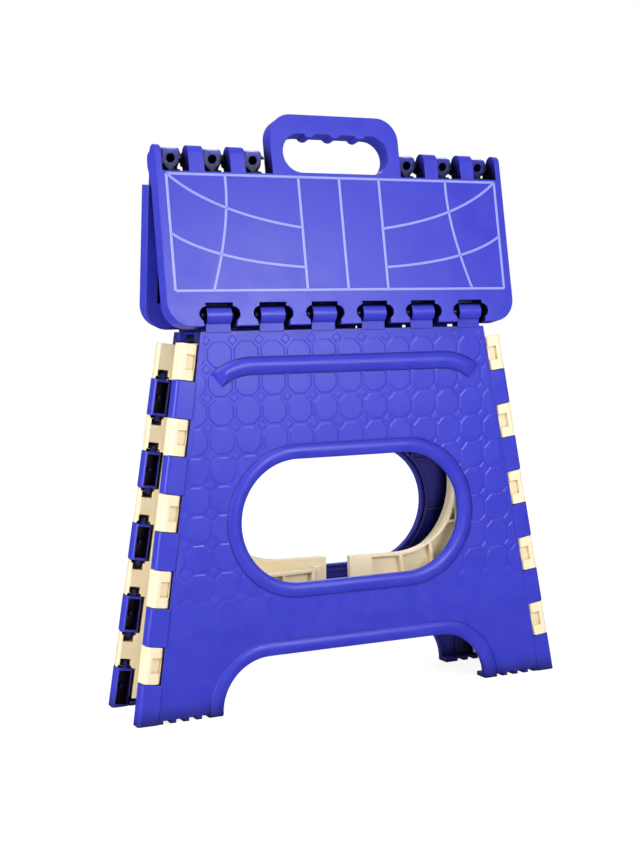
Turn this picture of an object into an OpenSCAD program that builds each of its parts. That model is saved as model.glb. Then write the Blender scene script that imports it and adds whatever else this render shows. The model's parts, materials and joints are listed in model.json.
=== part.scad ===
// Folding step stool, standing almost folded.
// Eight moulded panels: two seat halves, two legs and four half side panels.
// All side hinges point at one apex above the stool, so it folds like an origami box.
// Millimetres, +Z up, front towards -Y, origin on the floor under the middle of the stool.

/* [Seat] */
// Width of the seat
seat_w = 290; // [286:1:298]
// Length of a seat half, from the ridge axis to its edge
seat_l = 126; // [122:1:132]
// Thickness of a seat half
seat_t = 15; // [14.5:0.25:16]
// Radius of the seat's outer corners
seat_corner_r = 18; // [8:1:20]
// Thickness of the seat's top skin
seat_skin = 3; // [2:0.25:4]
// Thickness of the seat's rims and ribs
seat_rib = 2.2; // [1.6:0.1:3]
// Distance from the leg hinge axis to the seat's edge
hinge_inset = 9; // [8.5:0.25:10]

/* [Handle] */
// Width of the carrying handle
handle_w = 108; // [104:1:109]
// Height of the handle above the ridge axis
handle_rise = 34; // [32:1:38]
// Radius of the handle's corners
handle_r = 18; // [12:1:22]
// Width of the finger hole
finger_w = 89; // [80:1:92]
// Height of the finger hole
finger_h = 30; // [26:1:31]
// Depth of the finger grooves
groove_d = 2.6; // [1:0.2:3]
// Number of finger grooves
groove_n = 4; // [3:1:5]

/* [Legs] */
// Width across the feet of a leg
foot_w = 356; // [348:2:364]
// Width across the side hinges at the leg's top edge
top_w = 267; // [264:1:272]
// Height of a leg along its face
leg_h = 281.5; // [276:0.5:288]
// Thickness of a leg's outer skin
leg_skin = 3; // [2.5:0.1:3.2]
// Height of the ribs inside a leg
leg_rib_h = 1.8; // [1:0.1:2]
// Width of the ribs inside a leg
leg_rib_w = 2; // [1.4:0.1:3]
// Width of the oval hole
hole_w = 185; // [176:1:190]
// Height of the oval hole
hole_h = 93; // [86:1:96]
// Height of the middle of the oval hole
hole_v = 138.5; // [134:0.5:142]
// Width of the arch between the feet
arch_w = 224; // [216:1:228]
// Height of the arch
arch_h = 39.5; // [34:0.5:42]
// Corner radius of the arch
arch_r = 38.5; // [28:0.5:39]
// Height of the raised beads on a leg
bead_h = 2.4; // [1.5:0.1:3]
// Width of the raised beads on a leg
bead_w = 11; // [9:0.5:12]
// Height of the middle of the long brow bead
brow_v = 255.5; // [250:0.5:258]
// Length of the straight part of the brow bead
brow_l = 162; // [150:1:170]
// Width of the brow bead
brow_w = 13; // [11:0.5:14]
// Height of the brow bead
brow_h = 3.4; // [1.5:0.1:4]
// Radius of the bends at the brow bead's ends
brow_r = 44; // [36:1:46]
// Turn of those bends, in degrees
brow_turn = 40; // [20:1:44]

/* [Sides] */
// Thickness of the half side panels
side_t = 7.5; // [7:0.1:7.6]
// Thickness of their outer skin
side_skin = 2.5; // [2:0.1:3]
// Thickness of their rims and ribs
side_rib = 2.2; // [1.6:0.1:3]
// Width of a side foot
side_foot_w = 32; // [28:1:36]
// Height of the arch between the side feet
side_arch_h = 46; // [44:1:50]
// Gap between the side panels and the floor
side_lift = 6; // [5:0.5:8]

/* [Hinges] */
// Thickness of the tabs along the four corners
corner_t = 13; // [12.8:0.1:13.4]
// Number of leg tabs along one corner
tab_n = 5; // [4:1:5]
// Height of the lowest leg tab
foot_tab_h = 29.8; // [27:0.2:32]
// Radius of the ball stubs in the corner hinges
ball_r = 3.6; // [3:0.1:3.7]
// Number of hinge knuckles along a leg's top edge
knuckle_n = 6; // [4:2:6]
// Distance between those knuckles
knuckle_pitch = 42.2; // [41:0.1:42.4]
// Width of one knuckle
knuckle_w = 19.5; // [17:0.5:20]
// Radius of the knuckles
knuckle_r = 7; // [6:0.25:7.2]
// Height of the knuckle axis above the leg's top edge
knuckle_rise = 11.5; // [11:0.25:13]
// Number of ridge gaps on each side of the handle
ridge_n = 3; // [2:1:3]
// Width of a ridge gap
ridge_gap_w = 20.5; // [19:0.5:21]
// Distance between the ridge gaps
ridge_pitch = 32.4; // [32:0.1:32.8]
// Length of the ridge teeth past the ridge axis
tooth_reach = 8.8; // [6:0.2:9]

/* [Fold] */
// Angle of the side panels to the middle plane, from 5 folded to 90 open
fold = 11.4; // [9:0.2:15]

/* [Hidden] */
$fn = 64;
over = 1;                    // overrun of cuts through a surface
sink = 0.6;                  // depth by which a raised form enters its skin

// Colours of the two mouldings
blue = "#4046cf";
cream = "#f3e3bf";

// Corner hinge sizes, measured from the hinge axis
half_t = corner_t / 2;       // the axis lies in the middle of the tabs
tab_round = 3;               // rounding of a tab's edges
tab_wall = 2;                // wall round the hollow of a tab
tab_gap = 0.4;               // gap between neighbouring tabs
tab_step = 0.4;              // the leg tabs stand this proud of the leg's face
leg_root = 7.6;              // from the axis to the bottom of a leg's notches
side_root = 8.4;             // the same on a side panel
knuckle_in = 3;              // knuckle axis, below the outer face of the tabs
rim_gap = 1.4;               // ribs stay this clear of the notches
ball_out = 6.4;              // reach of a ball stub past its tab
shoulder_r = 4.9;            // cone at the base of a ball stub
shoulder_h = 1.8;
ball_gap = 0.4;              // clearance round a ball stub
open_gap = 1.2;              // the same at the corner that is only loosely hinged
socket_wall = 1;             // between a ball socket and the recess of its tab
recess_d = 3;                // shallow recess in the face of a side tab
recess_share = 0.36;         // where it starts, as a share of the tab's width
boss_r = 1.6;                // dot inside a leg tab
boss_h = 5;

// Leg geometry
taper = (foot_w - top_w) / 2 / leg_h;
alpha = atan(taper);                                 // lean of a leg's side edge
axis_x = foot_w / 2 - half_t / cos(alpha);           // hinge line at floor level
apex_v = axis_x / taper;                             // apex above the floor, along a leg
apex_c = apex_v / cos(alpha);                        // the same, along a corner
knuckle_v = leg_h + knuckle_rise;
knuckle_z = half_t - knuckle_in;                     // knuckle axis, from the leg's hinge plane
beam_h = 8;                                          // part of a leg above its side panels
side_top = (leg_h - beam_h) / cos(alpha);            // top of the side tabs along a corner
tab_h = (side_top - foot_tab_h) / (2 * tab_n - 1);   // tabs and notches share the rest alike
sole_h = 3.6;                                        // thick part of a foot
face_z = half_t - tab_step;                          // outer face of a leg
rim_in = leg_root + rim_gap;

// Folding: one apex joins all corner and centre folds
to_axis = seat_l - hinge_inset;                      // ridge axis to leg hinge, along the seat
seat_arm = sqrt(pow(to_axis, 2) + pow(seat_t / 2, 2));
seat_skew = atan(seat_t / 2 / to_axis);
hinge_drop = apex_v - knuckle_v;
lean_open = asin(seat_arm / sqrt(pow(hinge_drop, 2) + pow(knuckle_z, 2))) - atan(knuckle_z / hinge_drop);
beta = asin(cos(alpha) * sin(lean_open));            // width of a half side panel, as an angle
lean = asin(sin(lean_open) * sin(fold));             // lean of the legs
fold_x = atan(taper / cos(lean)) - atan(tan(beta) * cos(fold));
corner_turn = atan2(cos(fold_x) * sin(lean), cos(fold_x) * cos(lean) * sin(alpha) - sin(fold_x) * cos(alpha));
side_skew = asin(half_t / ((apex_c - side_top) * sin(beta)));
side_turn = corner_turn - side_skew;                 // angle between a leg and its side panel
hinge_y = hinge_drop * sin(lean) + knuckle_z * cos(lean);
seat_angle = asin(hinge_y / seat_arm);
seat_lean = seat_angle - seat_skew;                  // lean of the seat halves
ridge_z = knuckle_v * cos(lean) + knuckle_z * sin(lean) + seat_arm * cos(seat_angle);

// Side panel geometry
panel_top = side_top * cos(beta) - tab_gap;  // top edge, square to the centre fold
fold_reach = 7.5;            // tabs past the centre fold axis
fold_root = 8.6;             // bottom of the notches before that axis
fold_barrel = 3.8;           // barrel round the centre fold axis
fold_pin = 1.9;
fold_pin_l = 2.2;
cut_out_rise = 15;           // the side cut-outs sit higher than the oval hole
cut_out_more = 3;            // and are larger by this all round
cut_out_wide = 18;           // even kinds have a cut-out wider by this on each side
cut_out_high = 7;            // and higher by this, above and below
cut_out_v = hole_v + cut_out_rise;
cut_out_h = hole_h + 2 * cut_out_more;
low_folds = 3;               // hinge tabs below the cut-out
high_folds = 4;              // and above it
side_col = 26;               // spacing of the ribs

// Beads and treads of a leg
bead_flats = 6;              // flats round a bead's cross section
bead_step = 0.2;             // step at a bead's foot
bead_slope = 68;             // slope of the brow bead's ends, in degrees from upright
tread_w = 5.4;               // tread notches under a foot
tread_h = 2.2;
tread_pitch = 9.9;
tread_n = 4;
tread_in = 14;               // from the arch to the first notch
tread_x = arch_w / 2 + tread_in;

// Ridge and seat geometry
handle_side = 1.2;           // between the handle and the gap next to it
first_gap = handle_w / 2 + handle_side + ridge_gap_w / 2;    // middle of that gap
gap_depth = 12;              // ridge gaps, from the ridge axis
ear_depth = 19;              // the rear half is cut back this far beside the front half's ears
ear_gap = 3;                 // room below an ear
tooth_gap = 0.6;             // clearance beside a ridge tooth
tooth_round = 7.2;           // radius of a tooth's nose
barrel_r = 5;                // barrel round the ridge axis
stub_r = 2;                  // pins on the ridge teeth
stub_l = 2.4;
slot_w = 2.6;                // pin slots: room behind the axis
slot_travel = 6.4;           // and room ahead of it, for the ridge's play
notch_gap = 0.8;             // clearance beside a knuckle
notch_top = knuckle_r + 1.1; // seat notch above the knuckle axis
bite_r = 5.3;                // round bite for the stubs of a knuckle
knuckle_ball = 2.6;
knuckle_cone = 4.4;
knuckle_cone_h = 1.6;
knuckle_out = 4.2;           // reach of those stubs
edge_cut = 2.2;              // chamfer under the seat's edge
cell_w = 21.1;               // ribs under the seat
cell_rows = 4;
handle_gap = 2.5;            // clearance round the handle in the rear half
handle_bar = 14.7;           // handle above its finger hole
finger_top = handle_rise - handle_bar;
groove_spread_share = 1.08;  // grooves reach a little past the straight part of the hole
ring_hole_r = 3.2;           // round hole in a rear tooth
ring_hole_y = 1.6;
ring_cut = 1.6;              // chamfer over that hole
rib_tip = 8;                 // pointed rib under the hole, from the ridge axis
rear_pocket = 7;             // pockets beside that rib

// Places of repeated parts
function odd(i, n) = (2 * i - n + 1) / 2;
function tab_y(k) = foot_tab_h + (2 * k - 1) * tab_h;           // lower end of leg tab k
function side_tab_y(k) = foot_tab_h + 2 * k * tab_h;            // and of side tab k
function gap_x(i) = first_gap + i * ridge_pitch;
ear_x = gap_x(ridge_n - 1) + ridge_gap_w / 2;                   // inner side of an ear

// Frames. A panel is modelled flat, in X and Y, with its outer face towards +Z.

module leg_frame() {
    translate([0, -apex_v * sin(lean), 0]) rotate([90 - lean, 0, 0]) children();
}

module rear() { rotate([0, 0, 180]) children(); }

// Corner hinge line of the left edge: X runs inwards, Y up the hinge line
module corner_frame() {
    translate([-axis_x, 0, 0]) rotate([0, 0, -alpha]) children();
}

module side_frame() {
    leg_frame() corner_frame() rotate([0, side_turn, 0]) mirror([0, 0, 1]) children();
}

// Centre fold line of a side panel: Y is the fold axis, with 0 at the apex
module fold_frame() {
    translate([0, apex_c, 0]) rotate([0, -side_skew, 0]) rotate([0, 0, beta]) children();
}

module seat_frame() {
    translate([0, 0, ridge_z]) rotate([90 - seat_lean, 0, 0]) children();
}

module both_sides() {
    children();
    mirror([1, 0, 0]) children();
}

// Small shapes

module box(x0, x1, y0, y1, z0, z1) {
    translate([x0, y0, z0]) cube([x1 - x0, y1 - y0, z1 - z0]);
}

// Outline with round ends, w wide and h high, about the origin
module stadium(w, h) {
    square([w - h, h], center = true);
    for (s = [-1, 1]) translate([s * (w - h) / 2, 0]) circle(d = h);
}

// Outline of a bead's cross section, a low arch of flats that stands on Y = 0 with a small step
module bead_2d(w, h) {
    rise = h - bead_step;
    r = (pow(w / 2, 2) + pow(rise, 2)) / (2 * rise);
    turn = asin(w / 2 / r);
    polygon(concat([[w / 2, -sink], [-w / 2, -sink]],
        [for (i = [0 : bead_flats]) let(a = turn * (2 * i / bead_flats - 1))
            [r * sin(a), h - r + r * cos(a)]]));
}

module bead_bar(l, w, h) {
    translate([-l / 2, 0, 0]) rotate([90, 0, 90]) linear_extrude(l) bead_2d(w, h);
}

// Bead that bends from +Y towards +X, by up to a quarter turn, and ends in a slope
module bead_arc(r, turn, w, h) {
    difference() {
        rotate_extrude(angle = 90, $fn = 128) translate([r, 0]) bead_2d(w, h);
        if (turn < 90) rotate([0, -bead_slope, -turn]) box(0, 2 * r, -2 * r, 2 * r, -r, r);
    }
}

// Tab profile across a corner hinge, from its end to x1, as X and Z
module tab_2d(x1) {
    r = tab_round;
    translate([-half_t + r, -half_t]) square([x1 + half_t - 2 * r, corner_t]);
    translate([-half_t, -half_t + r]) square([x1 + half_t, corner_t - 2 * r]);
    for (x = [-half_t + r, x1 - r], z = [-1, 1]) translate([x, z * (half_t - r)]) circle(r = r);
    translate([x1 - r, 0]) square([r, half_t]);
}

module tab_block(y0, y1, x1) {
    translate([0, y1, 0]) rotate([90, 0, 0]) linear_extrude(y1 - y0) tab_2d(x1);
}

// Ball stub on a cone, pointing up +Y from the origin
module stub(cone_r, cone_h, r, out) {
    rotate([-90, 0, 0]) {
        translate([0, 0, -sink]) cylinder(h = cone_h + sink, r1 = cone_r, r2 = r * cos(30));
        cylinder(h = out - r, r = r * cos(30));
        translate([0, 0, out - r]) sphere(r = r);
    }
}

// Leg

module leg_outline(inset) {
    x0 = axis_x - inset / cos(alpha);
    drop = half_t;
    polygon([[-x0 - drop * taper, -drop], [x0 + drop * taper, -drop],
             [x0 - taper * leg_h, leg_h], [-x0 + taper * leg_h, leg_h]]);
}

module hole_2d(grow) {
    translate([0, hole_v]) stadium(hole_w + 2 * grow, hole_h + 2 * grow);
}

module arch_2d(grow) {
    x = arch_w / 2 - arch_r;
    r = arch_r + grow;
    translate([-x, -foot_w]) square([2 * x, foot_w + arch_h + grow]);
    for (s = [-1, 1]) translate([s * x, arch_h - arch_r]) circle(r = r, $fn = 128);
    translate([-x - r, -foot_w]) square([2 * (x + r), foot_w + arch_h - arch_r]);
}

module leg_tab(y0, y1) {
    difference() {
        tab_block(y0, y1, half_t);
        box(-half_t + tab_wall, half_t - tab_wall, max(y0, 0) + tab_wall, y1 - tab_wall,
            -half_t - over, half_t - leg_skin);
    }
    translate([0, (max(y0, 0) + y1) / 2, half_t - leg_skin - boss_h])
        cylinder(h = boss_h + sink, r = boss_r);
    // skin that joins the tab to the panel
    box(half_t - sink, leg_root + over, y0, y1, half_t - leg_skin - tab_step, half_t);
}

module leg_corner() {
    corner_frame() {
        leg_tab(-half_t, foot_tab_h);
        translate([0, foot_tab_h, 0]) stub(shoulder_r, shoulder_h, ball_r, ball_out);
        for (k = [1 : tab_n - 1]) {
            leg_tab(tab_y(k), tab_y(k) + tab_h);
            translate([0, tab_y(k) + tab_h, 0]) stub(shoulder_r, shoulder_h, ball_r, ball_out);
            translate([0, tab_y(k), 0]) mirror([0, 1, 0]) stub(shoulder_r, shoulder_h, ball_r, ball_out);
        }
    }
}

module leg_ribs_2d() {
    step = 2 * cell_w;
    n = floor(foot_w / 2 / step);
    difference() {
        intersection() {
            leg_outline(rim_in);
            translate([0, sole_h]) union() {
                for (i = [-n : n]) translate([i * step - leg_rib_w / 2, 0]) square([leg_rib_w, leg_h]);
                for (y = [step : step : leg_h - beam_h])
                    translate([-foot_w / 2, y - leg_rib_w / 2]) square([foot_w, leg_rib_w]);
            }
        }
        hole_2d(3 * leg_rib_w);
        arch_2d(leg_rib_w);
    }
    difference() {
        leg_outline(rim_in);
        leg_outline(rim_in + leg_rib_w);
    }
    for (i = [0, 2]) difference() {
        hole_2d((i + 1) * leg_rib_w);
        hole_2d(i * leg_rib_w);
    }
    intersection() {
        difference() {
            arch_2d(leg_rib_w);
            arch_2d(0);
        }
        leg_outline(rim_in);
    }
}

module leg_beam() {
    v0 = leg_h - beam_h + tab_gap + sink / 2;
    x0 = axis_x - taper * v0 - leg_root / cos(alpha) - sink;
    n = floor((x0 - leg_rib_w) / cell_w - 1 / 2);
    difference() {
        intersection() {
            box(-x0, x0, v0, leg_h, -half_t, half_t - sink);
            translate([0, 0, -corner_t]) linear_extrude(2 * corner_t) leg_outline(leg_root);
        }
        for (i = [-n : n]) box(i * cell_w - cell_w / 2 + leg_rib_w, i * cell_w + cell_w / 2 - leg_rib_w,
            v0 + leg_rib_w, leg_h - leg_rib_w, -half_t - over, half_t - leg_skin);
    }
}

module leg_soles() {
    difference() {
        translate([0, 0, -half_t]) linear_extrude(corner_t - sink) intersection() {
            leg_outline(half_t);
            translate([-foot_w, -half_t]) square([2 * foot_w, half_t + sole_h]);
        }
        translate([0, 0, -corner_t]) linear_extrude(2 * corner_t) arch_2d(0);
    }
}

module leg_treads() {
    for (i = [0 : tread_n - 1]) both_sides()
        box(tread_x + i * tread_pitch - tread_w / 2, tread_x + i * tread_pitch + tread_w / 2,
            -half_t - over, tread_h, -half_t - over, half_t + over);
}

module leg_beads() {
    hx = (hole_w - hole_h) / 2;
    hr = (hole_h + bead_w) / 2;
    translate([0, hole_v, face_z]) for (turn = [0, 1]) mirror([0, turn, 0]) {
        translate([0, hr, 0]) bead_bar(2 * hx, bead_w, bead_h);
        both_sides() translate([hx, 0, 0]) bead_arc(hr, 90, bead_w, bead_h);
    }
    ax = arch_w / 2 - arch_r;
    ar = arch_r + bead_w / 2;
    translate([0, arch_h + bead_w / 2, face_z]) bead_bar(2 * ax, bead_w, bead_h);
    both_sides() translate([ax, arch_h - arch_r, face_z]) bead_arc(ar, 90, bead_w, bead_h);
    translate([0, brow_v, face_z]) bead_bar(brow_l, brow_w, brow_h);
    both_sides() translate([brow_l / 2, brow_v - brow_r, face_z])
        bead_arc(brow_r, brow_turn, brow_w, brow_h);
}

module leg_knuckle() {
    translate([0, knuckle_v, knuckle_z]) {
        rotate([0, 90, 0]) cylinder(h = knuckle_w, r = knuckle_r, center = true);
        for (s = [-1, 1]) translate([s * knuckle_w / 2, 0, 0]) rotate([0, 0, -s * 90])
            stub(knuckle_cone, knuckle_cone_h, knuckle_ball, knuckle_out);
    }
    box(-knuckle_w / 2, knuckle_w / 2, leg_h - over, knuckle_v, knuckle_z - knuckle_r * cos(30), half_t);
}

module leg_panel() {
    color(blue) difference() {
        union() {
            difference() {
                union() {
                    translate([0, 0, half_t - leg_skin])
                        linear_extrude(leg_skin - tab_step) leg_outline(leg_root);
                    translate([0, 0, half_t - leg_skin - leg_rib_h])
                        linear_extrude(leg_rib_h + sink) leg_ribs_2d();
                }
                translate([0, 0, -corner_t]) linear_extrude(2 * corner_t) {
                    hole_2d(0);
                    arch_2d(0);
                }
            }
            leg_beam();
            leg_soles();
            leg_beads();
            both_sides() leg_corner();
            for (i = [0 : knuckle_n - 1]) translate([odd(i, knuckle_n) * knuckle_pitch, 0, 0]) leg_knuckle();
        }
        leg_treads();
        // flat under the feet, level with the floor
        rotate([lean, 0, 0]) box(-foot_w, foot_w, -foot_w, 0, -foot_w / 2, foot_w / 2);
    }
}

module leg_front() { leg_frame() leg_panel(); }
module leg_rear() { rear() leg_frame() leg_panel(); }

// Half side panel. Odd kinds have their centre tabs where even kinds have notches.

// What lies between a side panel's level edges and over its arch, drawn in by inset
module side_level_2d(inset) {
    x = side_foot_w + arch_r;
    y = side_arch_h - arch_r;
    r = arch_r + inset;
    far = 2 * side_top;
    rotate(beta) difference() {
        translate([0, side_lift + inset]) square([far, panel_top - side_lift - 2 * inset]);
        translate([x, -over]) square([far, y + r + over]);
        translate([x - r, -over]) square([far, y + over]);
        translate([x, y]) circle(r = r);
    }
}

// Outline from root, beside the corner hinge, to past, beyond the centre fold
module side_outline(root, past, inset = 0) {
    far = 2 * apex_c * sin(beta);
    intersection() {
        side_level_2d(inset);
        translate([root + inset, 0]) square([far, 2 * side_top]);
        translate([0, apex_c]) rotate(beta)
            translate([-far, -2 * apex_c]) square([far + past - inset, 2 * apex_c]);
    }
}

module cut_out_2d(kind, grow) {
    wide = kind == 0 ? cut_out_wide + grow : grow;
    high = kind == 0 ? cut_out_high + grow : grow;
    rotate(alpha) translate([axis_x, cut_out_v])
        stadium(hole_w + 2 * (cut_out_more + wide), cut_out_h + 2 * high);
}

// Centre hinge tabs: zones above and below the cut-outs, as distances below the apex
function fold_zone(i) = i == 0
    ? [apex_v - side_arch_h + over, apex_v - cut_out_v + cut_out_h / 2 + cut_out_high]
    : [apex_v - cut_out_v - cut_out_h / 2 - cut_out_high, apex_v - leg_h + beam_h];
function fold_count(i) = i == 0 ? low_folds : high_folds;

module fold_cuts(kind) {
    far = fold_reach + fold_barrel + over;
    fold_frame() for (i = [0, 1]) {
        zone = fold_zone(i);
        n = fold_count(i);
        step = (zone[0] - zone[1]) / n;
        for (j = [0 : n - 1]) if ((j + i + kind) % 2 == 0) {
            low = j == 0 ? 3 * step : 0;
            high = j == n - 1 ? 3 * step : 0;
            box(-fold_root, far, -zone[0] + j * step - tab_gap / 2 - low,
                -zone[0] + (j + 1) * step + tab_gap / 2 + high, -corner_t, corner_t);
        }
    }
}

module fold_barrels(kind) {
    fold_frame() for (i = [0, 1]) {
        zone = fold_zone(i);
        n = fold_count(i);
        step = (zone[0] - zone[1]) / n;
        for (j = [0 : n - 1]) if ((j + i + kind) % 2 == 1) {
            y0 = -zone[0] + j * step + tab_gap / 2;
            y1 = y0 + step - tab_gap;
            translate([0, y1, 0]) rotate([90, 0, 0]) cylinder(h = y1 - y0, r = fold_barrel);
        }
    }
}

// Pins on even kinds, and the holes for them in odd kinds
module fold_pins(kind, gap) {
    fold_frame() for (i = [0, 1]) {
        zone = fold_zone(i);
        n = fold_count(i);
        step = (zone[0] - zone[1]) / n;
        for (j = [1 : n - 1]) translate([0, -zone[0] + j * step, 0]) {
            up = (j + i) % 2 == 0 ? -1 : 1;
            rotate([up * 90, 0, 0]) translate([0, 0, -tab_gap / 2 - sink])
                cylinder(h = fold_pin_l + tab_gap / 2 + 2 * sink + gap, r = fold_pin + gap);
        }
    }
}

// Depth of a ball socket, from the end of the leg tab beside it
function socket_deep(gap) = ball_out + gap + tab_gap;

// Side tab with gaps at its ends and a recess between its sockets
module side_tab(y, gap) {
    wall = socket_deep(gap) + socket_wall;
    difference() {
        tab_block(y + gap, y + tab_h - gap, half_t);
        box(recess_share * corner_t - half_t, half_t - socket_wall, y + wall, y + tab_h - wall,
            -half_t - over, -half_t + recess_d);
    }
}

// Open socket for a ball stub that enters from y, towards +Y
module ball_socket(gap) {
    deep = socket_deep(gap);
    rotate([-90, 0, 0]) {
        translate([0, 0, -over]) cylinder(h = deep + over, r = ball_r + gap);
        translate([0, 0, -over]) cylinder(h = shoulder_h + over + gap, r = shoulder_r + gap);
    }
    box(-ball_r - gap, ball_r + gap, -over, deep, 0, half_t + over);
    box(-shoulder_r - gap, shoulder_r + gap, -over, shoulder_h + gap, 0, half_t + over);
}

module side_corner(gap) {
    difference() {
        for (k = [0 : tab_n - 1]) side_tab(side_tab_y(k), gap);
        for (k = [0 : tab_n - 1]) {
            translate([0, side_tab_y(k), 0]) ball_socket(gap);
            if (k < tab_n - 1) translate([0, tab_y(k + 1), 0]) mirror([0, 1, 0]) ball_socket(gap);
        }
    }
}

module side_ribs_2d(kind) {
    intersection() {
        side_outline(side_root, -fold_root);
        union() {
            for (x = [side_col : side_col : apex_c * sin(beta)])
                translate([x, 0]) square([side_rib, 2 * side_top]);
            for (y = [2 * cell_w : 2 * cell_w : panel_top])
                rotate(beta) translate([0, y]) square([2 * side_top, side_rib]);
            cut_out_2d(kind, side_rib);
        }
    }
    difference() {
        side_outline(side_root, -fold_root);
        side_outline(side_root, -fold_root, side_rib);
    }
}

module side_panel(kind, gap) {
    color(cream) difference() {
        union() {
            difference() {
                union() {
                    translate([0, 0, half_t - side_skin])
                        linear_extrude(side_skin) side_outline(side_root, fold_reach);
                    translate([0, 0, half_t - side_t]) linear_extrude(side_t - sink) side_ribs_2d(kind);
                    // full thickness at the centre hinge
                    translate([0, 0, half_t - side_t]) linear_extrude(side_t - sink) difference() {
                        side_outline(side_root, fold_reach);
                        side_outline(side_root, -fold_root - side_rib);
                    }
                    fold_barrels(kind);
                }
                translate([0, 0, -corner_t]) linear_extrude(3 * corner_t) cut_out_2d(kind, 0);
                fold_cuts(kind);
                if (kind == 1) fold_pins(kind, ball_gap);
            }
            side_corner(gap);
            // skin that joins the corner tabs to the panel
            for (k = [0 : tab_n - 1]) box(half_t - sink, side_root + over,
                side_tab_y(k) + gap, side_tab_y(k) + tab_h - gap, half_t - side_t, half_t);
            if (kind == 0) fold_pins(kind, 0);
        }
    }
}

module side_front_left() { side_frame() side_panel(0, ball_gap); }
module side_rear_left() { mirror([0, 1, 0]) side_frame() side_panel(1, ball_gap); }
module side_front_right() { rear() mirror([0, 1, 0]) side_frame() side_panel(1, ball_gap); }
module side_rear_right() { rear() side_frame() side_panel(0, open_gap); }

// Seat halves

module seat_2d() {
    x = seat_w / 2;
    r = seat_corner_r;
    translate([-x, -seat_l + r]) square([seat_w, seat_l - r - gap_depth]);
    translate([-x + r, -seat_l]) square([seat_w - 2 * r, r + over]);
    for (s = [-1, 1]) translate([s * (x - r), -seat_l + r]) circle(r = r);
}

// Ridge tooth profile, as Y and Z
module tooth_2d() {
    r = tooth_round;
    translate([tooth_reach - r, seat_t / 2 + (seat_t / 2 - r)]) circle(r = r);
    translate([-gap_depth - over, 0]) square([gap_depth + over + tooth_reach - r, seat_t]);
    square([tooth_reach - r / 2, seat_t / 2]);
    circle(r = barrel_r);
}

// Extrude a Y and Z profile along X
module along_x(x0, x1) {
    translate([x0, 0, 0]) rotate([90, 0, 90]) linear_extrude(x1 - x0) children();
}

// Bulge under an end tooth, which slopes back to the seat's underside
module ear_2d() {
    polygon([[0, sink], [0, -barrel_r], [-barrel_r, -barrel_r],
             [-ear_depth + ear_gap, -over / 2], [-ear_depth + ear_gap, sink]]);
}

module seat_notch() {
    w = knuckle_w / 2 + notch_gap;
    box(-w, w, -seat_l - over, -to_axis + notch_top, -over, seat_t + over);
    for (s = [-1, 1]) translate([s * w, -to_axis, seat_t / 2 - bite_r]) {
        cylinder(h = seat_t, r = bite_r);
        linear_extrude(seat_t) polygon([[-s * over, 0], [s * bite_r / 2, -bite_r / 2],
            [s * bite_r / 3, -hinge_inset - over], [-s * over, -hinge_inset - over]]);
    }
}

// Pockets between the ribs under a seat half, from y0 to y1
module seat_pockets(y0, y1, x_keep) {
    step = (y1 - y0) / cell_rows;
    n = floor((seat_w / 2 - seat_rib - cell_w / 2) / cell_w);
    for (i = [-n : n], j = [0 : cell_rows - 1]) {
        x = i * cell_w;
        y = y0 + j * step;
        if (abs(x) > x_keep || j < cell_rows - 1)
            box(x - cell_w / 2 + seat_rib / 2, x + cell_w / 2 - seat_rib / 2,
                y + seat_rib / 2, y + step - seat_rib / 2, -over, seat_t - seat_skin);
    }
}

module seat_body(x_keep) {
    difference() {
        linear_extrude(seat_t) seat_2d();
        for (i = [0 : knuckle_n - 1]) translate([odd(i, knuckle_n) * knuckle_pitch, 0, 0]) seat_notch();
        seat_pockets(-to_axis + notch_top + seat_rib, -gap_depth - seat_rib, x_keep);
        translate([0, -seat_l, 0]) rotate([45, 0, 0])
            cube([seat_w, edge_cut * sqrt(2), edge_cut * sqrt(2)], center = true);
    }
}

module handle_2d(grow) {
    x = handle_w / 2 - handle_r;
    r = handle_r + grow;
    translate([-x - r, -gap_depth - over]) square([2 * (x + r), handle_rise - handle_r + gap_depth + over]);
    for (s = [-1, 1]) translate([s * x, handle_rise - handle_r]) circle(r = r);
    translate([-x, 0]) square([2 * x, handle_rise + grow]);
}

module finger_2d() {
    pitch = (finger_w - finger_h) / (groove_n - 1) * groove_spread_share;
    difference() {
        translate([0, finger_top - finger_h / 2]) stadium(finger_w, finger_h);
        for (i = [0 : groove_n - 2]) translate([odd(i, groove_n - 1) * pitch, finger_top + groove_d])
            circle(r = 2 * groove_d);
    }
}

// Pin at the end of a ridge tooth, pointing along X by way
module ridge_pin(x, way) {
    translate([x - way * sink, 0, 0]) rotate([0, way * 90, 0]) cylinder(h = stub_l + sink, r = stub_r);
}

module seat_front() {
    seat_frame() color(blue) difference() {
        union() {
            seat_body(handle_w / 2);
            linear_extrude(seat_t) handle_2d(0);
            both_sides() {
                for (i = [0 : ridge_n - 2]) {
                    x0 = gap_x(i) + ridge_gap_w / 2;
                    x1 = gap_x(i + 1) - ridge_gap_w / 2;
                    along_x(x0, x1) tooth_2d();
                    ridge_pin(x0, -1);
                    ridge_pin(x1, 1);
                }
                along_x(ear_x, seat_w / 2) {
                    tooth_2d();
                    ear_2d();
                }
                ridge_pin(ear_x, -1);
            }
        }
        translate([0, 0, -over]) linear_extrude(seat_t + 2 * over) finger_2d();
    }
}

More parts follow.
